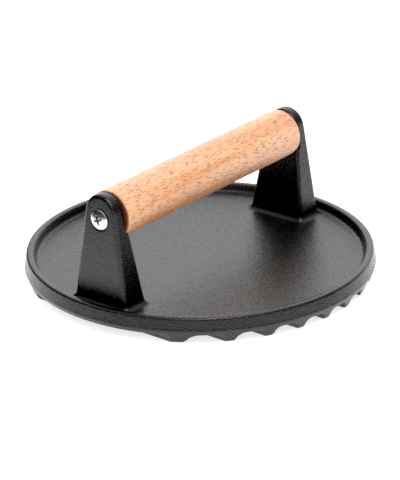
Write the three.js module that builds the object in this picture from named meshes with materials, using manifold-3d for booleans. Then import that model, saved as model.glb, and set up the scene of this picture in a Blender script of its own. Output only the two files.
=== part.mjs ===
// Round cast-iron patty press with a wooden grip.
// Millimetres, +Z up. The origin is the centre of the plate at the feet of its ribs. The grip lies along X.
import * as THREE from "three";
import { mergeVertices } from "three/addons/utils/BufferGeometryUtils.js";
import Module from "manifold-3d";

const wasm = await Module();
wasm.setup();

// ---- Driving dimensions ----

const PLATE = {
  footRadius: 98.6, // where the cone below the parting edge meets the feet of the ribs
  edgeRadius: 101.5, // the parting edge, the widest part of the casting
  edgeZ: 7.8,
  lipOuterRadius: 100,
  lipInnerRadius: 95.5,
  lipZ: 15.4,
  lipRound: 0.9,
  wallFootRadius: 94.6, // inner wall of the rim, where its floor fillet starts
  floorFillet: 1.8,
  floorZ: 10.7,
  segments: 96,
};

const RIB = {
  count: 10,
  pitch: 18.6,
  height: 5.1,
  footHalfWidth: 2.1,
  footChamfer: 0.5,
  flankDraft: 0.7, // how far a flank leans out between its foot and its root fillet
  rootFillet: 3,
};

// The posts are one casting with the plate. These are the measures of the one on the +X side.
const POST = {
  baseHalfWidth: 18.9,
  headRadius: 10.8,
  headZ: 64.6,
  innerBaseX: 70.6,
  innerTopX: 78.4,
  seatX: 78.6, // bottom of the round seat that takes the grip's end
  seatRadius: 14.5,
  outerBaseX: 88,
  outerHeadX: 86.1,
  edgeRound: 1.8,
  baseFillet: 3,
  filletSteps: 3,
  cornerSteps: 3,
  headSteps: 9,
  headEnd: 87, // degrees round the head at which its top is closed with a flat
};

const GRIP = {
  axisZ: 61.3,
  radius: 14,
  halfLength: 77.9,
  endRound: 1.5,
  boreRadius: 5.3,
  segments: 48,
};

const ROD = {
  radius: 5,
  seatGap: 0.2, // to each post's seat
  chamfer: 0.6,
  tappedRadius: 3.25,
  tappedDepth: 18,
  segments: 32,
};

// M6 screw with a low domed cross-recess head.
const SCREW = {
  shankRadius: 3,
  shankLength: 20,
  tipChamfer: 0.8,
  headRadius: 6,
  headEdge: 0.6,
  headHeight: 2.4,
  domeSteps: 4,
  seatX: 85.8, // spot face in the post under the head
  spotRadius: 6.4,
  seatGap: 0.15,
  holeRadius: 3.3,
  recessHalfSpan: 2.9,
  recessHalfWidth: 0.55,
  recessDepth: 1.7,
  recessTaper: 0.45, // the cross at the bottom of the recess, as a share of the cross at the top
  recessDrop: 0.2, // from the top of the dome to the mouth of the recess
  recessTurn: 20,
  segments: 32,
};

const MERGE_DISTANCE = 1e-4;
const CUTTER_MARGIN = 5; // how far a cutter runs on past what it cuts

const COLOURS = { iron: 0x29292a, beech: 0xe0a877, zinc: 0xc9d0d2 };

// ---- Solids ----

// A closed three.js geometry as a manifold-3d solid.
function solid(geometry) {
  const bare = geometry.clone();
  for (const name of Object.keys(bare.attributes)) {
    if (name !== "position") bare.deleteAttribute(name);
  }
  const merged = mergeVertices(bare, MERGE_DISTANCE);
  const mesh = new wasm.Mesh({
    numProp: 3,
    vertProperties: merged.attributes.position.array,
    triVerts: new Uint32Array(merged.index.array),
  });
  return new wasm.Manifold(mesh);
}

function geometryOf(manifold) {
  const mesh = manifold.getMesh();
  const geometry = new THREE.BufferGeometry();
  geometry.setAttribute("position", new THREE.BufferAttribute(mesh.vertProperties, 3));
  geometry.setIndex(new THREE.BufferAttribute(mesh.triVerts, 1));
  return geometry;
}

// A profile of [radius, height] points turned about the axis given, from the axis back to the axis.
function turned(profile, segments, axis = "z") {
  const points = profile.map(([radius, height]) => new THREE.Vector2(radius, height));
  const lathe = new THREE.LatheGeometry(points, segments);
  return axis === "z" ? lathe.rotateX(Math.PI / 2) : lathe.rotateZ(-Math.PI / 2);
}

// Points along a circle, from angle `from` to angle `to`, in degrees.
function arc(centreX, centreY, radius, from, to, steps = 3) {
  return Array.from({ length: steps + 1 }, (_, i) => {
    const angle = THREE.MathUtils.degToRad(from + ((to - from) * i) / steps);
    return [centreX + radius * Math.cos(angle), centreY + radius * Math.sin(angle)];
  });
}

// A cylinder along X between two stations.
function cylinderX(radius, fromX, toX, segments) {
  const profile = [
    [0, fromX],
    [radius, fromX],
    [radius, toX],
    [0, toX],
  ];
  return solid(turned(profile, segments, "x"));
}

// ---- Plate ----

// The dished disc, before its underside is grooved.
function disc() {
  const { lipRound, lipZ, floorZ, floorFillet, wallFootRadius } = PLATE;
  const profile = [
    [0, 0],
    [PLATE.footRadius, 0],
    [PLATE.edgeRadius, PLATE.edgeZ],
    ...arc(PLATE.lipOuterRadius - lipRound, lipZ - lipRound, lipRound, 0, 90),
    ...arc(PLATE.lipInnerRadius + lipRound, lipZ - lipRound, lipRound, 90, 180),
    ...arc(wallFootRadius - floorFillet, floorZ + floorFillet, floorFillet, 0, -90),
    [0, floorZ],
  ];
  return solid(turned(profile, PLATE.segments));
}

// One flank of a rib, from below its foot to the roof of the groove, as [distance from the rib's middle, z].
function flank() {
  const { footHalfWidth, footChamfer, flankDraft, rootFillet, height } = RIB;
  const rootX = footHalfWidth + flankDraft;
  return [
    [footHalfWidth - 2 * footChamfer, -footChamfer],
    [footHalfWidth, footChamfer],
    ...arc(rootX + rootFillet, height - rootFillet, rootFillet, 180, 90),
  ];
}

// The cutter for the groove between the ribs at leftX and rightX. The outer side of an end groove has no rib.
function groove(leftX, rightX) {
  const beyond = PLATE.edgeRadius + CUTTER_MARGIN;
  const left = leftX === null
    ? [[-beyond, -RIB.footChamfer], [-beyond, RIB.height]]
    : flank().map(([x, z]) => [leftX + x, z]);
  const right = rightX === null
    ? [[beyond, RIB.height], [beyond, -RIB.footChamfer]]
    : flank().map(([x, z]) => [rightX - x, z]).reverse();
  const outline = new THREE.Shape([...left, ...right].map(([x, z]) => new THREE.Vector2(x, z)));
  const depth = 2 * beyond;
  const block = new THREE.ExtrudeGeometry(outline, { depth, bevelEnabled: false });
  return solid(block.translate(0, 0, -beyond).rotateX(Math.PI / 2));
}

function plate() {
  const ribs = Array.from({ length: RIB.count }, (_, i) => (i - (RIB.count - 1) / 2) * RIB.pitch);
  const edges = [null, ...ribs, null];
  let made = disc();
  for (let i = 0; i < edges.length - 1; i++) {
    made = made.subtract(groove(edges[i], edges[i + 1]));
  }
  return made;
}

// ---- Posts ----

const rise = POST.headZ - PLATE.floorZ;
const headShare = (z) => (z - PLATE.floorZ) / rise;
const fullShare = (z) => (z - PLATE.floorZ) / (rise + POST.headRadius);
const innerX = (z) => THREE.MathUtils.lerp(POST.innerBaseX, POST.innerTopX, fullShare(z));
const outerX = (z) => THREE.MathUtils.lerp(POST.outerBaseX, POST.outerHeadX, headShare(z));

// The angle round the head at which a straight side of the post runs into it.
const tangent = Math.acos(POST.headRadius / Math.hypot(rise, POST.baseHalfWidth))
  - Math.atan2(rise, POST.baseHalfWidth);
const tangentY = POST.headRadius * Math.cos(tangent);
const tangentZ = POST.headZ + POST.headRadius * Math.sin(tangent);

// Half the post's width in Y at height z, where its outline is set in by `inset`.
function halfWidth(z, inset) {
  if (z >= tangentZ) {
    return Math.sqrt(Math.max((POST.headRadius - inset) ** 2 - (z - POST.headZ) ** 2, 0));
  }
  const share = (z - PLATE.floorZ) / (tangentZ - PLATE.floorZ);
  return THREE.MathUtils.lerp(POST.baseHalfWidth, tangentY, share) - inset;
}

// The level outline of the post at height z, counter-clockwise, grown by `spread` at its foot.
// A face's outline is set in by edgeRound, falling to 0 over edgeRound of depth, which rounds the edges.
function section(z, spread) {
  const round = POST.edgeRound + spread;
  const [low, high] = [innerX(z) - spread, outerX(z) + spread];
  const overHead = Math.max(z - (POST.headZ + POST.headRadius - round), 0);
  const firstAngle = z > tangentZ ? Math.asin(Math.min(overHead / round, 1)) : 0;
  const quarter = Array.from({ length: POST.cornerSteps + 1 }, (_, i) => {
    const angle = THREE.MathUtils.lerp(firstAngle, Math.PI / 2, i / POST.cornerSteps);
    const [depth, inset] = [round * (1 - Math.cos(angle)), round * (1 - Math.sin(angle))];
    return { depth, half: halfWidth(z, inset) + spread };
  });
  const back = [...quarter].reverse();
  return [
    ...quarter.map(({ depth, half }) => [high - depth, half, z]),
    ...back.map(({ depth, half }) => [low + depth, half, z]),
    ...quarter.map(({ depth, half }) => [low + depth, -half, z]),
    ...back.map(({ depth, half }) => [high - depth, -half, z]),
  ];
}

// Heights and spreads of the concave fillet at the foot. The first chord is carried on down into the plate.
function filletRings() {
  const { baseFillet, filletSteps } = POST;
  const rings = [];
  for (let i = 1; i <= filletSteps; i++) {
    const angle = ((i / filletSteps) * Math.PI) / 2;
    rings.push([PLATE.floorZ + baseFillet * (1 - Math.cos(angle)), baseFillet * (1 - Math.sin(angle))]);
  }
  const [firstZ, firstSpread] = rings[0];
  return [[2 * PLATE.floorZ - firstZ, 2 * baseFillet - firstSpread], ...rings];
}

// A closed geometry through loops of equally many points, counter-clockwise seen from above, with flat ends.
function stack(loops) {
  const size = loops[0].length;
  const middle = (loop) => [0, 1, 2].map((k) => loop.reduce((sum, p) => sum + p[k], 0) / size);
  const points = [...loops.flat(), middle(loops[0]), middle(loops.at(-1))];
  const [bottom, top] = [points.length - 2, points.length - 1];
  const index = [];
  for (let k = 0; k < size; k++) {
    const next = (k + 1) % size;
    const last = (loops.length - 1) * size;
    index.push(bottom, next, k, top, last + k, last + next);
    for (let row = 0; row < last; row += size) {
      index.push(row + k, row + next, row + size + next);
      index.push(row + k, row + size + next, row + size + k);
    }
  }
  const geometry = new THREE.BufferGeometry();
  geometry.setAttribute("position", new THREE.Float32BufferAttribute(points.flat(), 3));
  return geometry.setIndex(index);
}

// The post on the +X side, with the seat for the grip's end, its spot face and its screw hole.
function post() {
  const { headSteps, headEnd, headZ, headRadius } = POST;
  const first = THREE.MathUtils.radToDeg(tangent);
  const headRings = arc(0, headZ, headRadius, first, headEnd, headSteps).map(([, z]) => [z, 0]);
  const rings = [...filletRings(), ...headRings];
  const body = solid(stack(rings.map(([z, spread]) => section(z, spread))));
  const beyondX = POST.outerBaseX + CUTTER_MARGIN;
  const insideX = POST.innerBaseX - CUTTER_MARGIN;
  const seat = cylinderX(POST.seatRadius, insideX, POST.seatX, GRIP.segments);
  const spot = cylinderX(SCREW.spotRadius, SCREW.seatX, beyondX, SCREW.segments);
  const hole = cylinderX(SCREW.holeRadius, insideX, beyondX, SCREW.segments);
  const cut = seat.add(hole).add(spot).translate([0, 0, GRIP.axisZ]);
  return body.subtract(cut);
}

function casting() {
  const right = post();
  return plate().add(right).add(right.rotate([0, 0, 180]));
}

// ---- Grip, rod and screws, all turned about X ----

function grip() {
  const { halfLength, radius, endRound, boreRadius, segments } = GRIP;
  const profile = [
    [boreRadius, -halfLength],
    ...arc(radius - endRound, -halfLength + endRound, endRound, -90, 0),
    ...arc(radius - endRound, halfLength - endRound, endRound, 0, 90),
    [boreRadius, halfLength],
  ];
  return turned([...profile, profile[0]], segments, "x");
}

function rod() {
  const end = POST.seatX - ROD.seatGap;
  const tapped = end - ROD.tappedDepth;
  const profile = [
    [0, -tapped],
    [ROD.tappedRadius, -tapped],
    [ROD.tappedRadius, -end],
    [ROD.radius - ROD.chamfer, -end],
    [ROD.radius, -end + ROD.chamfer],
    [ROD.radius, end - ROD.chamfer],
    [ROD.radius - ROD.chamfer, end],
    [ROD.tappedRadius, end],
    [ROD.tappedRadius, tapped],
    [0, tapped],
  ];
  return turned(profile, ROD.segments, "x");
}

// One wing of the cross recess, wide at the face of the head and narrow at its bottom.
function recessWing(turn) {
  const { recessHalfSpan: span, recessHalfWidth: width, recessTaper: taper } = SCREW;
  const ring = (scale, z) => [
    [-span * scale, -width * scale, z],
    [span * scale, -width * scale, z],
    [span * scale, width * scale, z],
    [-span * scale, width * scale, z],
  ];
  const wing = solid(stack([ring(taper, -SCREW.recessDepth), ring(1, 0), ring(1, 1)]));
  return wing.rotate([0, 0, turn]);
}

// A screw standing on Z, with the underside of its head at z = 0 and its shank below.
function screw() {
  const { shankRadius, shankLength, tipChamfer, headRadius, headEdge, headHeight } = SCREW;
  const domeRise = headHeight - headEdge;
  const domeRadius = (headRadius ** 2 + domeRise ** 2) / (2 * domeRise);
  const domeAngle = THREE.MathUtils.radToDeg(Math.asin(headRadius / domeRadius));
  const dome = arc(0, headHeight - domeRadius, domeRadius, 90 - domeAngle, 90, SCREW.domeSteps);
  const profile = [
    [0, -shankLength],
    [shankRadius - tipChamfer, -shankLength],
    [shankRadius, -shankLength + tipChamfer],
    [shankRadius, 0],
    [headRadius, 0],
    ...dome.slice(0, -1),
    [0, headHeight],
  ];
  const cross = recessWing(SCREW.recessTurn).add(recessWing(SCREW.recessTurn + 90));
  const recess = cross.translate([0, 0, headHeight - SCREW.recessDrop]);
  return geometryOf(solid(turned(profile, SCREW.segments)).subtract(recess));
}

// ---- Assembly ----

const finish = {
  iron: new THREE.MeshStandardMaterial({ color: COLOURS.iron, roughness: 0.55, metalness: 0.3 }),
  beech: new THREE.MeshStandardMaterial({ color: COLOURS.beech, roughness: 0.6, metalness: 0 }),
  zinc: new THREE.MeshStandardMaterial({ color: COLOURS.zinc, roughness: 0.25, metalness: 1 }),
};

function named(name, geometry, material) {
  const mesh = new THREE.Mesh(geometry, material);
  mesh.name = name;
  return mesh;
}

const press = new THREE.Group();
press.add(named("press_casting", geometryOf(casting()), finish.iron));

// Everything on the grip's axis.
const axle = new THREE.Group();
axle.position.z = GRIP.axisZ;
axle.add(named("wooden_grip", grip(), finish.beech));
axle.add(named("tie_rod", rod(), finish.zinc));
for (const [name, side] of [["end_screw_left", -1], ["end_screw_right", 1]]) {
  const mesh = named(name, screw(), finish.zinc);
  mesh.rotation.y = (side * Math.PI) / 2;
  mesh.position.x = side * (SCREW.seatX + SCREW.seatGap);
  axle.add(mesh);
}
press.add(axle);

export default press;
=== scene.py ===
import math

import bmesh
import bpy
from mathutils import Matrix, Vector


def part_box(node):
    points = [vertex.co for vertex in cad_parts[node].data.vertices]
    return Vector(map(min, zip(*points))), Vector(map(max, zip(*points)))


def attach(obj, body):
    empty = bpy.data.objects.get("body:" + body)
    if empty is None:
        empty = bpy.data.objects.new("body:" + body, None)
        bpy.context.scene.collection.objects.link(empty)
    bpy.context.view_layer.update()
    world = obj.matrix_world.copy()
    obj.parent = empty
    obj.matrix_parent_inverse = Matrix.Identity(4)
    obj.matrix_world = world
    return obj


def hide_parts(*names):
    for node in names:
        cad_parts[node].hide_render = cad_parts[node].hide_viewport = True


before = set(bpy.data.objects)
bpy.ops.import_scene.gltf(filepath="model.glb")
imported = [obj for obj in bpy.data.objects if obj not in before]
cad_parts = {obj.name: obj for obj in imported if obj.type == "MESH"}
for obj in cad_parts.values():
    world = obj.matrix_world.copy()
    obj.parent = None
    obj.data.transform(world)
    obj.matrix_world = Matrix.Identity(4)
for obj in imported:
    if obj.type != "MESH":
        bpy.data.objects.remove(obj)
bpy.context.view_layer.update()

MM = 0.001
OVERRUN = 6.0  # mm that cutters reach past the solid they cut


# ---------------------------------------------------------------- anchors from the frame, in millimetres

def box_mm(node):
    low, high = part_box(node)
    return low / MM, high / MM


casting_low, casting_high = box_mm("press_casting")
grip_low, grip_high = box_mm("wooden_grip")
screw_low, screw_high = box_mm("end_screw_right")

EDGE_R = casting_high.x  # the plate's widest radius, at the parting edge
TOP_Z = casting_high.z
AXIS_Z = (grip_low.z + grip_high.z) / 2
GRIP_R = grip_high.y
GRIP_HALF = grip_high.x
HEAD_R = screw_high.y
HEAD_TOP_X = screw_high.x
SCREW_TIP_X = screw_low.x


# ---------------------------------------------------------------- mesh helpers

def arc(cx, cy, radius, start, end, steps):
    """Points along a circle, from one angle to another, in degrees."""
    angles = [math.radians(start + (end - start) * i / steps) for i in range(steps + 1)]
    return [(cx + radius * math.cos(a), cy + radius * math.sin(a)) for a in angles]


def loft(name, loops, ring=False):
    """An object through closed loops of as many points each, in mm, with flat ends, or closed as a ring."""
    mesh = bpy.data.meshes.new(name)
    size = len(loops[0])
    points = [Vector(p) * MM for loop in loops for p in loop]
    faces = []
    rows = len(loops) if ring else len(loops) - 1
    for i in range(rows):
        a, b = i * size, ((i + 1) % len(loops)) * size
        for k in range(size):
            n = (k + 1) % size
            faces.append((a + k, a + n, b + n, b + k))
    if not ring:
        faces.append(tuple(reversed(range(size))))
        faces.append(tuple(range((len(loops) - 1) * size, len(loops) * size)))
    mesh.from_pydata(points, [], faces)
    tidy = bmesh.new()
    tidy.from_mesh(mesh)
    bmesh.ops.recalc_face_normals(tidy, faces=tidy.faces)
    tidy.to_mesh(mesh)
    tidy.free()
    made = bpy.data.objects.new(name, mesh)
    bpy.context.scene.collection.objects.link(made)
    return made


def circle_z(radius, z, segments):
    angles = [2 * math.pi * k / segments for k in range(segments)]
    return [(radius * math.cos(a), radius * math.sin(a), z) for a in angles]


def circle_x(radius, x, segments, centre_z=0.0):
    angles = [2 * math.pi * k / segments for k in range(segments)]
    return [(x, radius * math.cos(a), centre_z + radius * math.sin(a)) for a in angles]


def apply_modifiers(made):
    bpy.context.view_layer.update()
    graph = bpy.context.evaluated_depsgraph_get()
    fresh = bpy.data.meshes.new_from_object(made.evaluated_get(graph))
    made.modifiers.clear()
    made.data = fresh
    return made


def cut(made, cutter):
    """Takes the cutter's solid out of the object, and removes the cutter."""
    boolean = made.modifiers.new("cut", "BOOLEAN")
    boolean.operation = "DIFFERENCE"
    boolean.solver = "EXACT"
    boolean.object = cutter
    apply_modifiers(made)
    bpy.data.objects.remove(cutter)
    return made


def join(parts, name):
    """One object that holds the meshes of all of these."""
    joined = bmesh.new()
    for part in parts:
        joined.from_mesh(part.data)
        bpy.data.objects.remove(part)
    mesh = bpy.data.meshes.new(name)
    joined.to_mesh(mesh)
    joined.free()
    made = bpy.data.objects.new(name, mesh)
    bpy.context.scene.collection.objects.link(made)
    return made


def smooth_shade(made):
    made.data.polygons.foreach_set("use_smooth", [True] * len(made.data.polygons))
    made.data.update()


# ---------------------------------------------------------------- the casting: plate, ribs and posts

FOOT_R = 98.6
# Steps round the foot's edge, as (from FOOT_R, z), and round the parting edge, as (from EDGE_R, from EDGE_Z).
FOOT_ROUND = ((-1.0, 0.0), (-0.25, 0.25), (0.2, 0.9))
EDGE_ROUND = ((-0.5, -0.7), (0.0, 0.0), (-0.35, 0.5))
EDGE_Z = 7.8
LIP_OUTER_R = 100.0
LIP_INNER_R = 95.5
LIP_Z = 15.4
LIP_ROUND = 1.0
WALL_FOOT_R = 94.6
FLOOR_FILLET = 1.9
FLOOR_Z = 10.7
PLATE_SEGMENTS = 360

RIBS = 10
RIB_PITCH = 18.6
RIB_HEIGHT = 5.1
RIB_FOOT = 2.1  # half the width of a rib's foot
RIB_FOOT_ROUND = 0.7
RIB_DRAFT = 0.7  # how much wider each side of a rib is at its root
RIB_DRAFT_ANGLE = 8  # degrees
RIB_ROOT = 3.0  # radius of the concave root
BELOW_FEET = 0.6  # how far the cutters for the grooves start below the feet

POST_BASE_HALF = 18.9  # half the width at the plate's floor
POST_HEAD_R = 10.8
POST_HEAD_Z = TOP_Z - POST_HEAD_R
POST_INNER_BASE = 70.6  # x of the inner face at the floor, and at the top
POST_INNER_TOP = 78.4
POST_OUTER_BASE = 88.0  # x of the outer face at the floor, and at the middle of the head
POST_OUTER_HEAD = 86.1
POST_ROUND = 1.9
POST_FILLET = 3.2
POST_CORNER_STEPS = 8
POST_FILLET_STEPS = 8
POST_HEAD_STEPS = 24
POST_LAST_ANGLE = 88.5  # degrees up the head to its last ring, a little short of the top
POST_SINK = 1.5  # how far the posts start inside the plate
SEAT_X = 78.6  # bottom of the round seat that takes the grip's end
SEAT_R = 14.5
SPOT_X = 85.8  # bottom of the spot face under the screw's head
SPOT_R = 6.4
HOLE_R = 3.3
HOLE_SEGMENTS = 96

VOXEL = 0.62
SOFTEN_FACTOR = 0.5
SOFTEN_STEPS = 3
CASTING_TRIANGLES = 190_000


def plate():
    """The round plate with its rim, turned about Z, with the grooves between the ribs cut out."""
    profile = [(FOOT_R + out, z) for out, z in FOOT_ROUND]
    profile += [(EDGE_R + out, EDGE_Z + up) for out, up in EDGE_ROUND]
    profile += arc(LIP_OUTER_R - LIP_ROUND, LIP_Z - LIP_ROUND, LIP_ROUND, 0, 90, 6)
    profile += arc(LIP_INNER_R + LIP_ROUND, LIP_Z - LIP_ROUND, LIP_ROUND, 90, 180, 6)
    profile += arc(WALL_FOOT_R - FLOOR_FILLET, FLOOR_Z + FLOOR_FILLET, FLOOR_FILLET, 0, -90, 7)
    made = loft("plate", [circle_z(r, z, PLATE_SEGMENTS) for r, z in profile])
    return cut(made, grooves())


def rib_flank():
    """One side of a rib, from below its foot to the roof of the groove, as (from the rib's middle, z)."""
    foot_x = RIB_FOOT - RIB_FOOT_ROUND
    root_x = RIB_FOOT + RIB_DRAFT + RIB_ROOT
    flank = [(foot_x - BELOW_FEET, -BELOW_FEET)]
    flank += arc(foot_x, RIB_FOOT_ROUND, RIB_FOOT_ROUND, -90, -RIB_DRAFT_ANGLE, 5)
    flank += arc(root_x, RIB_HEIGHT - RIB_ROOT, RIB_ROOT, 180 - RIB_DRAFT_ANGLE, 90, 8)
    return flank


def grooves():
    """Cutters for the grooves between the ribs and the two flats beyond the last ribs."""
    middles = [(i - (RIBS - 1) / 2) * RIB_PITCH for i in range(RIBS)]
    reach = EDGE_R + OVERRUN
    cutters = []
    for i in range(RIBS + 1):
        if i == 0:
            left = [(-reach, -BELOW_FEET), (-reach, RIB_HEIGHT)]
        else:
            left = [(middles[i - 1] + x, z) for x, z in rib_flank()]
        if i == RIBS:
            right = [(reach, RIB_HEIGHT), (reach, -BELOW_FEET)]
        else:
            right = [(middles[i] - x, z) for x, z in reversed(rib_flank())]
        outline = left + right
        cutters.append(loft(f"groove_{i}", [[(x, y, z) for x, z in outline] for y in (-reach, reach)]))
    return join(cutters, "grooves")


# Where the post's straight sides meet its round head: the angle on the head's circle, and the point.
RISE = POST_HEAD_Z - FLOOR_Z
TANGENT = math.acos(POST_HEAD_R / math.hypot(RISE, POST_BASE_HALF)) - math.atan2(RISE, POST_BASE_HALF)
TANGENT_Y = POST_HEAD_R * math.cos(TANGENT)
TANGENT_Z = POST_HEAD_Z + POST_HEAD_R * math.sin(TANGENT)


def post_half_width(z, inset):
    """Half the post's width at height z, measured inset from its outline."""
    if z >= TANGENT_Z:
        return math.sqrt(max((POST_HEAD_R - inset) ** 2 - (z - POST_HEAD_Z) ** 2, 0.0))
    share = (z - FLOOR_Z) / (TANGENT_Z - FLOOR_Z)
    return POST_BASE_HALF + (TANGENT_Y - POST_BASE_HALF) * share - inset


def post_section(z, spread, side):
    """The post's level outline at height z, with rounded corners, grown by spread at its foot."""
    corner = POST_ROUND + spread
    climb = z - FLOOR_Z
    low = POST_INNER_BASE + (POST_INNER_TOP - POST_INNER_BASE) * climb / (TOP_Z - FLOOR_Z) - spread
    high = POST_OUTER_BASE + (POST_OUTER_HEAD - POST_OUTER_BASE) * climb / RISE + spread
    over = max(z - (POST_HEAD_Z + POST_HEAD_R - corner), 0.0) if z > TANGENT_Z else 0.0
    first = math.asin(min(over / corner, 1.0))
    quarter = []
    for i in range(POST_CORNER_STEPS + 1):
        angle = first + (math.pi / 2 - first) * i / POST_CORNER_STEPS
        depth = corner * (1 - math.cos(angle))
        inset = corner * (1 - math.sin(angle))
        quarter.append((depth, post_half_width(z, inset) + spread))
    back = quarter[::-1]
    loop = [(high - d, h, z) for d, h in quarter] + [(low + d, h, z) for d, h in back]
    loop += [(low + d, -h, z) for d, h in quarter] + [(high - d, -h, z) for d, h in back]
    return [(side * x, y, z) for x, y, z in loop]


def post(side):
    """The post on one side (1 or -1), from its fillet up, with its seat, through hole and spot face."""
    rings = [(FLOOR_Z - POST_SINK, POST_FILLET)]
    for i in range(POST_FILLET_STEPS + 1):
        angle = math.radians(90 * i / POST_FILLET_STEPS)
        climb = POST_FILLET * (1 - math.cos(angle))
        spread = POST_FILLET * (1 - math.sin(angle))
        rings.append((FLOOR_Z + climb, spread))
    head = arc(0, POST_HEAD_Z, POST_HEAD_R, math.degrees(TANGENT), POST_LAST_ANGLE, POST_HEAD_STEPS)
    rings += [(z, 0.0) for _, z in head]
    made = loft("post", [post_section(z, spread, side) for z, spread in rings])
    steps = [
        (SEAT_R, POST_INNER_BASE - OVERRUN),
        (SEAT_R, SEAT_X),
        (HOLE_R, SEAT_X),
        (HOLE_R, SPOT_X),
        (SPOT_R, SPOT_X),
        (SPOT_R, POST_OUTER_BASE + OVERRUN),
    ]
    cutter = loft("seat_and_hole", [circle_x(r, side * x, HOLE_SEGMENTS, AXIS_Z) for r, x in steps])
    return cut(made, cutter)


def casting():
    """The plate and the posts fused into one skin with soft edges, kept inside the CAD's box."""
    made = join([plate(), post(1), post(-1)], "casting")
    remesh = made.modifiers.new("fuse", "REMESH")
    remesh.mode = "VOXEL"
    remesh.voxel_size = VOXEL * MM
    soften = made.modifiers.new("soften", "SMOOTH")
    soften.factor = SOFTEN_FACTOR
    soften.iterations = SOFTEN_STEPS
    apply_modifiers(made)
    triangles = 2 * len(made.data.polygons)
    if triangles > CASTING_TRIANGLES:
        thin = made.modifiers.new("thin", "DECIMATE")
        thin.ratio = CASTING_TRIANGLES / triangles
        apply_modifiers(made)
    low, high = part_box("press_casting")
    for vertex in made.data.vertices:
        for k in range(3):
            vertex.co[k] = min(max(vertex.co[k], low[k]), high[k])
    smooth_shade(made)
    return made


# ---------------------------------------------------------------- the grip

GRIP_ROUND = 1.6
GRIP_BORE = 5.3
GRIP_BORE_EDGE = 0.5
GRIP_SEGMENTS = 128
GRIP_SPANS = 40


def grip():
    """The turned grip about the rod's axis, with its bore."""
    half = GRIP_HALF
    inner = half - GRIP_ROUND
    bevel = GRIP_BORE_EDGE
    profile = [(GRIP_BORE + bevel, -half)]
    profile += arc(GRIP_R - GRIP_ROUND, -inner, GRIP_ROUND, -90, 0, 6)
    profile += [(GRIP_R, -inner + 2 * inner * i / GRIP_SPANS) for i in range(1, GRIP_SPANS)]
    profile += arc(GRIP_R - GRIP_ROUND, inner, GRIP_ROUND, 0, 90, 6)
    profile += [(GRIP_BORE + bevel, half), (GRIP_BORE, half - bevel), (GRIP_BORE, -half + bevel)]
    made = loft("grip", [circle_x(r, x, GRIP_SEGMENTS, AXIS_Z) for r, x in profile], ring=True)
    smooth_shade(made)
    return made


# ---------------------------------------------------------------- the screws

SCREW_SEGMENTS = 48
SHANK_R = 3.0
THREAD_PITCH = 1.0
THREAD_DEPTH = 0.5
THREAD_STEPS = 8  # rings to each turn of the thread
THREAD_START = 1.5  # plain shank under the head
TIP_LENGTH = 1.2
TIP_SHARE = 0.7  # of the radius, at the tip
HEAD_HEIGHT = 2.4
HEAD_EDGE = 0.9  # height of the head's upright side
HEAD_BREAK = 0.3
DOME_INSET = 0.25  # the dome starts this far in from the head's upright side
DOME_DROP = 0.1  # the upright side ends this far below HEAD_EDGE
CROSS_SPAN = 3.3  # half the length of each wing
CROSS_HALF_WIDTH = 0.7
CROSS_DEPTH = 1.6
CROSS_SINK = 0.15  # from the top of the dome to the top of the recess
CROSS_TURN = 20.0  # degrees
HARD_ANGLE = 38  # degrees; edges sharper than this stay hard


def screw_blank():
    """A screw on the Z axis: the underside of its head is at z = 0, and its threaded shank is below."""
    length = HEAD_TOP_X - HEAD_HEIGHT - SCREW_TIP_X
    step = THREAD_PITCH / THREAD_STEPS
    loops = []
    for i in range(int(round(length / step))):
        z = -length + i * step
        tip = min(1.0, (z + length) / TIP_LENGTH)
        loop = []
        for k in range(SCREW_SEGMENTS):
            turn = k / SCREW_SEGMENTS
            phase = (z / THREAD_PITCH - turn) % 1.0
            groove = THREAD_DEPTH * (1 - abs(2 * phase - 1)) if z < -THREAD_START else 0.0
            radius = (SHANK_R - groove) * (TIP_SHARE + (1 - TIP_SHARE) * tip)
            angle = 2 * math.pi * turn
            loop.append((radius * math.cos(angle), radius * math.sin(angle), z))
        loops.append(loop)
    rise = HEAD_HEIGHT - HEAD_EDGE
    dome_r = (HEAD_R ** 2 + rise ** 2) / (2 * rise)
    dome_angle = math.degrees(math.asin((HEAD_R - DOME_INSET) / dome_r))
    head = [(SHANK_R, 0.0), (HEAD_R - HEAD_BREAK, 0.0), (HEAD_R, HEAD_BREAK), (HEAD_R, HEAD_EDGE - DOME_DROP)]
    head += arc(0, HEAD_HEIGHT - dome_r, dome_r, 90 - dome_angle, 89, 10)
    loops += [circle_z(r, z, SCREW_SEGMENTS) for r, z in head]
    return loft("screw", loops)


def cross_wings():
    """Cutters for the cross recess: two tapered wings at right angles, narrowing as they go down."""
    top = HEAD_HEIGHT - CROSS_SINK
    # Each level's share of the full span, and its height.
    depths = ((0.35, top - CROSS_DEPTH), (0.9, top - 0.25), (1.0, top), (1.05, top + 1.0))
    wings = []
    for turn in (CROSS_TURN, CROSS_TURN + 90):
        spin = Matrix.Rotation(math.radians(turn), 3, "Z")
        rings = []
        for share, z in depths:
            half = CROSS_SPAN * share
            width = CROSS_HALF_WIDTH * (0.75 + 0.25 * share)
            corners = [(-half, -width), (half, -width), (half, width), (-half, width)]
            rings.append([tuple(spin @ Vector((x, y, z))) for x, y in corners])
        wings.append(loft("wing", rings))
    return wings


def screw(name, side):
    """One end screw in its post, on the side given as 1 or -1."""
    made = screw_blank()
    for wing in cross_wings():
        cut(made, wing)
    place = Matrix.Translation(Vector((side * (HEAD_TOP_X - HEAD_HEIGHT), 0, AXIS_Z)) * MM)
    turn = Matrix.Rotation(side * math.pi / 2, 4, "Y")
    made.data.transform(place @ turn)
    smooth_shade(made)
    # The thread and the dome are smooth, but the edges of the recess and of the head's underside stay hard.
    made.data.set_sharp_from_angle(angle=math.radians(HARD_ANGLE))
    made.name = name
    return made


# ---------------------------------------------------------------- materials

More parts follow.
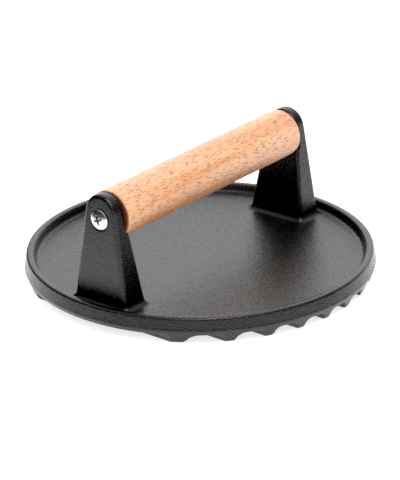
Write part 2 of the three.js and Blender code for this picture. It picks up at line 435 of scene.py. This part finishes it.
# Features per metre for the noises, and bump heights in millimetres.
GRAIN = 1150
GRAIN_BUMP = 0.24
LUMPS = 210
LUMP_BUMP = 0.1
CLOUD = 28
FIBRE_BUMP = 0.02
PORE_BUMP = -0.02
MARK_BUMP = 0.006
RING_BUMP = 0.01

IRON_IOR = 1.52
IRON_DARK = (0.003, 0.003, 0.0032)
IRON_LIGHT = (0.006, 0.006, 0.0062)

BEECH_DARK = (0.80, 0.34, 0.14)
BEECH_MIDDLE = (0.90, 0.48, 0.26)
BEECH_LIGHT = (0.94, 0.58, 0.37)
FLECK_COLOUR = (0.27, 0.045, 0.004)
FLECK_STEP = 8.0  # mm along the grip for each fleck
FLECK_ROW = 0.64  # mm round the grip for each row of flecks
FLECK_DRIFT = 0.05  # how far the rows climb round the grip along it
END_SHADE = 1.4  # mm at each end painted darker: darker end grain, and painted shade on the end's rounding
END_GRAIN_AND_SHADE_COLOUR = (0.10, 0.018, 0.004)

ZINC_DARK = (0.62, 0.66, 0.68)
ZINC_LIGHT = (0.76, 0.80, 0.82)
RECESS_DEPTH = 0.62  # mm below the top of the head from which the recess gets painted shade
RECESS_REACH = 1.1  # times the recess's half length, the radius that the painted shade keeps within
RECESS_SHADE_AMOUNT = 0.75  # how much of the plating the painted shade hides
# colour of the painted shade in the cross recess
RECESS_SHADE_COLOUR = (0.03, 0.03, 0.03)
ROD_DARK = (0.42, 0.43, 0.44)
ROD_LIGHT = (0.58, 0.59, 0.60)


def new_material(name):
    material = bpy.data.materials.new(name)
    material.use_nodes = True
    tree = material.node_tree
    shader = next(n for n in tree.nodes if n.type == "BSDF_PRINCIPLED")
    return material, tree, shader


def node(tree, kind, **inputs):
    made = tree.nodes.new(kind)
    for name, value in inputs.items():
        made.inputs[name.replace("_", " ")].default_value = value
    return made


def scaled(tree, scale):
    """Object coordinates times a scale for each axis."""
    place = tree.nodes.new("ShaderNodeTexCoord")
    mapping = node(tree, "ShaderNodeMapping", Scale=scale)
    tree.links.new(place.outputs["Object"], mapping.inputs["Vector"])
    return mapping.outputs["Vector"]


def split_place(tree):
    """The object coordinates X, Y and Z as three outputs."""
    place = tree.nodes.new("ShaderNodeTexCoord")
    split = tree.nodes.new("ShaderNodeSeparateXYZ")
    tree.links.new(place.outputs["Object"], split.inputs[0])
    return split.outputs


def noise(tree, scale, detail=2.0, roughness=0.5):
    """Noise with about one feature per unit of the scaled coordinates."""
    made = node(tree, "ShaderNodeTexNoise", Scale=1.0, Detail=detail, Roughness=roughness)
    tree.links.new(scaled(tree, scale), made.inputs["Vector"])
    return made.outputs["Fac"]


def ramp(tree, source, stops):
    """The source through a colour ramp of (position, grey or colour) stops."""
    made = tree.nodes.new("ShaderNodeValToRGB")
    elements = made.color_ramp.elements
    while len(elements) < len(stops):
        elements.new(0.5)
    for element, (position, colour) in zip(elements, stops):
        element.position = position
        grey = (colour,) * 3 if isinstance(colour, (int, float)) else tuple(colour)
        element.color = (*grey, 1.0)
    tree.links.new(source, made.inputs["Fac"])
    return made.outputs["Color"]


def mix(tree, factor, a, b, blend="MIX"):
    """Two colours mixed; each input is a socket or a value."""
    made = tree.nodes.new("ShaderNodeMix")
    made.data_type = "RGBA"
    made.blend_type = blend
    sockets = {s.identifier: s for s in made.inputs}
    for key, value in (("Factor_Float", factor), ("A_Color", a), ("B_Color", b)):
        if isinstance(value, bpy.types.NodeSocket):
            tree.links.new(value, sockets[key])
        elif isinstance(value, tuple):
            sockets[key].default_value = (*value, 1.0)
        else:
            sockets[key].default_value = value
    return next(s for s in made.outputs if s.identifier == "Result_Color")


def maths(tree, operation, a, b=0.0):
    made = tree.nodes.new("ShaderNodeMath")
    made.operation = operation
    for socket, value in zip(made.inputs, (a, b)):
        if isinstance(value, bpy.types.NodeSocket):
            tree.links.new(value, socket)
        else:
            socket.default_value = value
    return made.outputs[0]


def bump(tree, height, distance, strength=1.0, under=None):
    """The height as a bump of that many millimetres, over another bump if one is given."""
    made = node(tree, "ShaderNodeBump", Distance=distance * MM, Strength=strength)
    tree.links.new(height, made.inputs["Height"])
    if under is not None:
        tree.links.new(under, made.inputs["Normal"])
    return made.outputs["Normal"]


def cast_iron():
    """Satin black coating over fine sand-cast grain."""
    material, tree, shader = new_material("cast_iron")
    grain = noise(tree, (GRAIN, GRAIN, GRAIN), detail=2.0, roughness=0.6)
    lumps = noise(tree, (LUMPS, LUMPS, LUMPS), detail=2.0)
    cloud = noise(tree, (CLOUD, CLOUD, CLOUD), detail=3.0, roughness=0.6)
    tone = ramp(tree, cloud, [(0.3, IRON_DARK), (0.7, IRON_LIGHT)])
    specks = ramp(tree, grain, [(0.28, 0.55), (0.42, 1.0)])
    tree.links.new(mix(tree, 1.0, tone, specks, "MULTIPLY"), shader.inputs["Base Color"])
    tree.links.new(ramp(tree, grain, [(0.3, 0.2), (0.7, 0.32)]), shader.inputs["Roughness"])
    fine = bump(tree, grain, GRAIN_BUMP)
    tree.links.new(bump(tree, lumps, LUMP_BUMP, 1.0, fine), shader.inputs["Normal"])
    shader.inputs["IOR"].default_value = IRON_IOR
    return material


def ray_flecks(tree, x, y, level):
    """Rows of short dashes that lie on the turned surface: along the axis, and round it as an arc length."""
    turn = maths(tree, "ARCTAN2", y, level)
    round_axis = maths(tree, "MULTIPLY", turn, GRIP_R / FLECK_ROW)
    drift = maths(tree, "MULTIPLY", x, FLECK_DRIFT / (FLECK_ROW * MM))
    surface = tree.nodes.new("ShaderNodeCombineXYZ")
    tree.links.new(maths(tree, "MULTIPLY", x, 1 / (FLECK_STEP * MM)), surface.inputs["X"])
    tree.links.new(maths(tree, "ADD", round_axis, drift), surface.inputs["Y"])
    cells = tree.nodes.new("ShaderNodeTexVoronoi")
    cells.voronoi_dimensions = "2D"
    cells.inputs["Scale"].default_value = 1.0
    tree.links.new(surface.outputs["Vector"], cells.inputs["Vector"])
    dash = ramp(tree, cells.outputs["Distance"], [(0.16, 1.0), (0.24, 0.0)])
    kept = ramp(tree, cells.outputs["Color"], [(0.34, 0.0), (0.46, 1.0)])
    return maths(tree, "MULTIPLY", dash, kept)


def beech():
    """Beech turned along X: soft long bands, fine fibres, short dark ray flecks, and ends darkened as end
    grain and painted shade.
    """
    material, tree, shader = new_material("beech")
    x, y, z = split_place(tree)
    level = maths(tree, "SUBTRACT", z, AXIS_Z * MM)
    bands = noise(tree, (9, 150, 150), detail=3.0, roughness=0.55)
    fibres = noise(tree, (60, 1900, 1900), detail=2.0)
    wood = ramp(tree, bands, [(0.3, BEECH_DARK), (0.5, BEECH_MIDDLE), (0.7, BEECH_LIGHT)])
    wood = mix(tree, 1.0, wood, ramp(tree, fibres, [(0.3, 0.88), (0.7, 1.0)]), "MULTIPLY")
    flecks = ray_flecks(tree, x, y, level)
    wood = mix(tree, flecks, wood, FLECK_COLOUR)
    # Darker ends: partly the end grain's own colour, partly painted shade on the rounding beside the posts.
    into_end = maths(tree, "SUBTRACT", maths(tree, "ABSOLUTE", x), (GRIP_HALF - END_SHADE) * MM)
    depth = maths(tree, "MULTIPLY", into_end, 1 / (END_SHADE * MM))
    end_grain_and_shade = ramp(tree, depth, [(0.2, 0.0), (0.6, 0.6), (0.9, 1.0)])
    wood = mix(tree, maths(tree, "MULTIPLY", end_grain_and_shade, 0.95), wood, END_GRAIN_AND_SHADE_COLOUR)
    tree.links.new(wood, shader.inputs["Base Color"])
    tree.links.new(ramp(tree, fibres, [(0.3, 0.40), (0.7, 0.54)]), shader.inputs["Roughness"])
    pores = bump(tree, flecks, PORE_BUMP, 0.5)
    tree.links.new(bump(tree, fibres, FIBRE_BUMP, 0.7, pores), shader.inputs["Normal"])
    shine = ramp(tree, end_grain_and_shade, [(0.0, 0.9), (0.6, 0.1)])
    tree.links.new(shine, shader.inputs["Specular IOR Level"])
    return material


def zinc():
    """Bright zinc plating with a fine haze of handling marks, and painted shade in the cross recess."""
    material, tree, shader = new_material("zinc_plate")
    haze = noise(tree, (900, 900, 900), detail=4.0, roughness=0.65)
    marks = noise(tree, (400, 2600, 300), detail=2.0)
    plating = ramp(tree, haze, [(0.3, ZINC_DARK), (0.7, ZINC_LIGHT)])
    x, y, z = split_place(tree)
    level = maths(tree, "SUBTRACT", z, AXIS_Z * MM)
    # Painted shade: the plating is darkened by position inside the cross recess.
    square = maths(tree, "ADD", maths(tree, "MULTIPLY", level, level), maths(tree, "MULTIPLY", y, y))
    inside = maths(tree, "LESS_THAN", square, (CROSS_SPAN * RECESS_REACH * MM) ** 2)
    deep = maths(tree, "LESS_THAN", maths(tree, "ABSOLUTE", x), (HEAD_TOP_X - RECESS_DEPTH) * MM)
    recess_shade_mask = maths(tree, "MULTIPLY", inside, deep)
    plating = mix(tree, maths(tree, "MULTIPLY", recess_shade_mask, RECESS_SHADE_AMOUNT), plating, RECESS_SHADE_COLOUR)
    tree.links.new(plating, shader.inputs["Base Color"])
    tree.links.new(ramp(tree, haze, [(0.3, 0.24), (0.7, 0.34)]), shader.inputs["Roughness"])
    tree.links.new(bump(tree, marks, MARK_BUMP, 0.5), shader.inputs["Normal"])
    shader.inputs["Metallic"].default_value = 1.0
    return material


def rod_steel():
    """Turned steel: fine rings round the rod, a little dull."""
    material, tree, shader = new_material("turned_steel")
    rings = noise(tree, (5200, 60, 60), detail=2.0)
    tree.links.new(ramp(tree, rings, [(0.3, ROD_DARK), (0.7, ROD_LIGHT)]), shader.inputs["Base Color"])
    tree.links.new(ramp(tree, rings, [(0.3, 0.3), (0.7, 0.45)]), shader.inputs["Roughness"])
    tree.links.new(bump(tree, rings, RING_BUMP, 0.6), shader.inputs["Normal"])
    shader.inputs["Metallic"].default_value = 1.0
    return material


def paint(made, material):
    made.data.materials.clear()
    made.data.materials.append(material)


# ---------------------------------------------------------------- the pieces on their bodies

casting_piece = casting()
paint(casting_piece, cast_iron())
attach(casting_piece, "press")
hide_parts("press_casting")

grip_piece = grip()
paint(grip_piece, beech())
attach(grip_piece, "grip")
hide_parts("wooden_grip")

zinc_plate = zinc()
for piece_name, cad_name, side in (
    ("screw_left", "end_screw_left", -1),
    ("screw_right", "end_screw_right", 1),
):
    screw_piece = screw(piece_name, side)
    paint(screw_piece, zinc_plate)
    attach(screw_piece, "press")
    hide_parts(cad_name)

paint(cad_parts["tie_rod"], rod_steel())


# ---------------------------------------------------------------- floor, light and camera

FLOOR_HALF = 3.0  # metres
FLOOR_TONE = (0.9, 0.9, 0.9)
FLOOR_GLOW = 0.75
CARD_TONE = (0.004, 0.004, 0.004)
BACKDROP = (0.77, 0.64, 0.0)  # towards the bright backdrop
BACKDROP_GLOW = 1.55
BACKDROP_SPREAD = (0.45, 0.9)  # cosines from the backdrop's middle, where its glow starts and is full
HORIZON = 0.12
SKY = 0.75
SKY_RISE = (0.24, 0.78)  # cosines from straight up, where the sky brightens
BLACK_LEVEL = 0.007

FLAGS = (  # name, foot of its middle (m), half width, height
    ("dark_side", (-0.16, 0.19), 0.7, 0.2),
    ("front_card", (0.10, -0.19), 0.08, 0.1),
)
LIGHTS = (  # name, place (m), diameter, watts
    ("key", (-0.32, -0.5, 1.35), 0.55, 11.5),
    ("back", (0.85, 0.5, 1.45), 0.55, 1.5),
    ("edge", (-1.0, -0.6, 0.9), 0.1, 1.0),
)


def quad(name, corners):
    """A flat four-sided object."""
    mesh = bpy.data.meshes.new(name)
    mesh.from_pydata(corners, [], [(0, 1, 2, 3)])
    made = bpy.data.objects.new(name, mesh)
    bpy.context.scene.collection.objects.link(made)
    return made


def floor():
    """A plain pale floor that glows a little, so that it stays white."""
    size = FLOOR_HALF
    made = quad("floor", [(-size, -size, 0), (size, -size, 0), (size, size, 0), (-size, size, 0)])
    material, tree, shader = new_material("studio_floor")
    shader.inputs["Base Color"].default_value = (*FLOOR_TONE, 1.0)
    shader.inputs["Roughness"].default_value = 0.9
    shader.inputs["Specular IOR Level"].default_value = 0.1
    shader.inputs["Emission Color"].default_value = (1.0, 1.0, 1.0, 1.0)
    shader.inputs["Emission Strength"].default_value = FLOOR_GLOW
    paint(made, material)


def area_light(name, position, size, power):
    """A round soft light that looks at the origin."""
    light = bpy.data.lights.new(name, "AREA")
    light.shape = "DISK"
    light.size = size
    light.energy = power
    made = bpy.data.objects.new(name, light)
    bpy.context.scene.collection.objects.link(made)
    made.location = position
    made.rotation_euler = (-Vector(position)).to_track_quat("-Z", "Y").to_euler()


def flag(name, middle, half_width, height):
    """A black card that stands on the floor facing the press, which only reflections see."""
    foot = Vector((*middle, 0.0))
    across = Vector((-foot.y, foot.x, 0.0)).normalized() * half_width
    rise = Vector((0.0, 0.0, height))
    made = quad(name, [foot - across, foot + across, foot + across + rise, foot - across + rise])
    material, tree, shader = new_material("black_card")
    shader.inputs["Base Color"].default_value = (*CARD_TONE, 1.0)
    shader.inputs["Roughness"].default_value = 1.0
    shader.inputs["Specular IOR Level"].default_value = 0.0
    paint(made, material)
    made.visible_camera = False
    made.visible_diffuse = False
    made.visible_shadow = False


def facing(tree, direction, turn, low, high):
    """Goes from low to high as a direction turns towards the one given, between the two cosines in turn."""
    place = tree.nodes.new("ShaderNodeTexCoord")
    dot = tree.nodes.new("ShaderNodeVectorMath")
    dot.operation = "DOT_PRODUCT"
    dot.inputs[1].default_value = direction
    tree.links.new(place.outputs["Generated"], dot.inputs[0])
    spread = node(tree, "ShaderNodeMapRange")
    spread.interpolation_type = "SMOOTHSTEP"
    for name, value in (("From Min", turn[0]), ("From Max", turn[1]), ("To Min", low), ("To Max", high)):
        spread.inputs[name].default_value = value
    tree.links.new(dot.outputs["Value"], spread.inputs["Value"])
    return spread.outputs["Result"]


def studio():
    """The floor, the world's soft light by direction, the cards, the lamps and the black level."""
    floor()
    world = bpy.data.worlds.new("studio")
    world.use_nodes = True
    tree = world.node_tree
    background = next(n for n in tree.nodes if n.type == "BACKGROUND")
    background.inputs["Color"].default_value = (1.0, 1.0, 1.0, 1.0)
    sky = facing(tree, (0, 0, 1), SKY_RISE, HORIZON, SKY)
    glow = facing(tree, BACKDROP, BACKDROP_SPREAD, 0.0, BACKDROP_GLOW)
    tree.links.new(maths(tree, "ADD", sky, glow), background.inputs["Strength"])
    bpy.context.scene.world = world
    for card in FLAGS:
        flag(*card)
    for lamp in LIGHTS:
        area_light(*lamp)
    view = bpy.context.scene.view_settings
    view.view_transform = "Standard"
    view.use_curve_mapping = True
    view.curve_mapping.black_level = (BLACK_LEVEL,) * 3


CAMERA_AZIMUTH = -50.4  # degrees
CAMERA_ELEVATION = 23.3
CAMERA_ROLL = 1.22
CAMERA_DISTANCE = 1.805  # metres
CAMERA_LENS = 235.2  # millimetres
CAMERA_RAISE = 0.0035  # metres along its own up, so that the plate sits a little under the middle


def camera():
    """A long lens that looks at the middle of the plate's rim."""
    azimuth = math.radians(CAMERA_AZIMUTH)
    elevation = math.radians(CAMERA_ELEVATION)
    back = Vector((
        math.sin(azimuth) * math.cos(elevation),
        -math.cos(azimuth) * math.cos(elevation),
        math.sin(elevation),
    ))
    level = Vector((math.cos(azimuth), math.sin(azimuth), 0.0))
    upright = back.cross(level)
    roll = math.radians(CAMERA_ROLL)
    right = level * math.cos(roll) - upright * math.sin(roll)
    up = level * math.sin(roll) + upright * math.cos(roll)
    target = Vector((0, 0, LIP_Z * MM))
    place = target + back * CAMERA_DISTANCE + up * CAMERA_RAISE
    lens = bpy.data.cameras.new("camera")
    lens.lens = CAMERA_LENS
    made = bpy.data.objects.new("camera", lens)
    bpy.context.scene.collection.objects.link(made)
    turn = Matrix((right, up, back)).transposed().to_4x4()
    made.matrix_world = Matrix.Translation(place) @ turn
    bpy.context.scene.camera = made


studio()
camera()
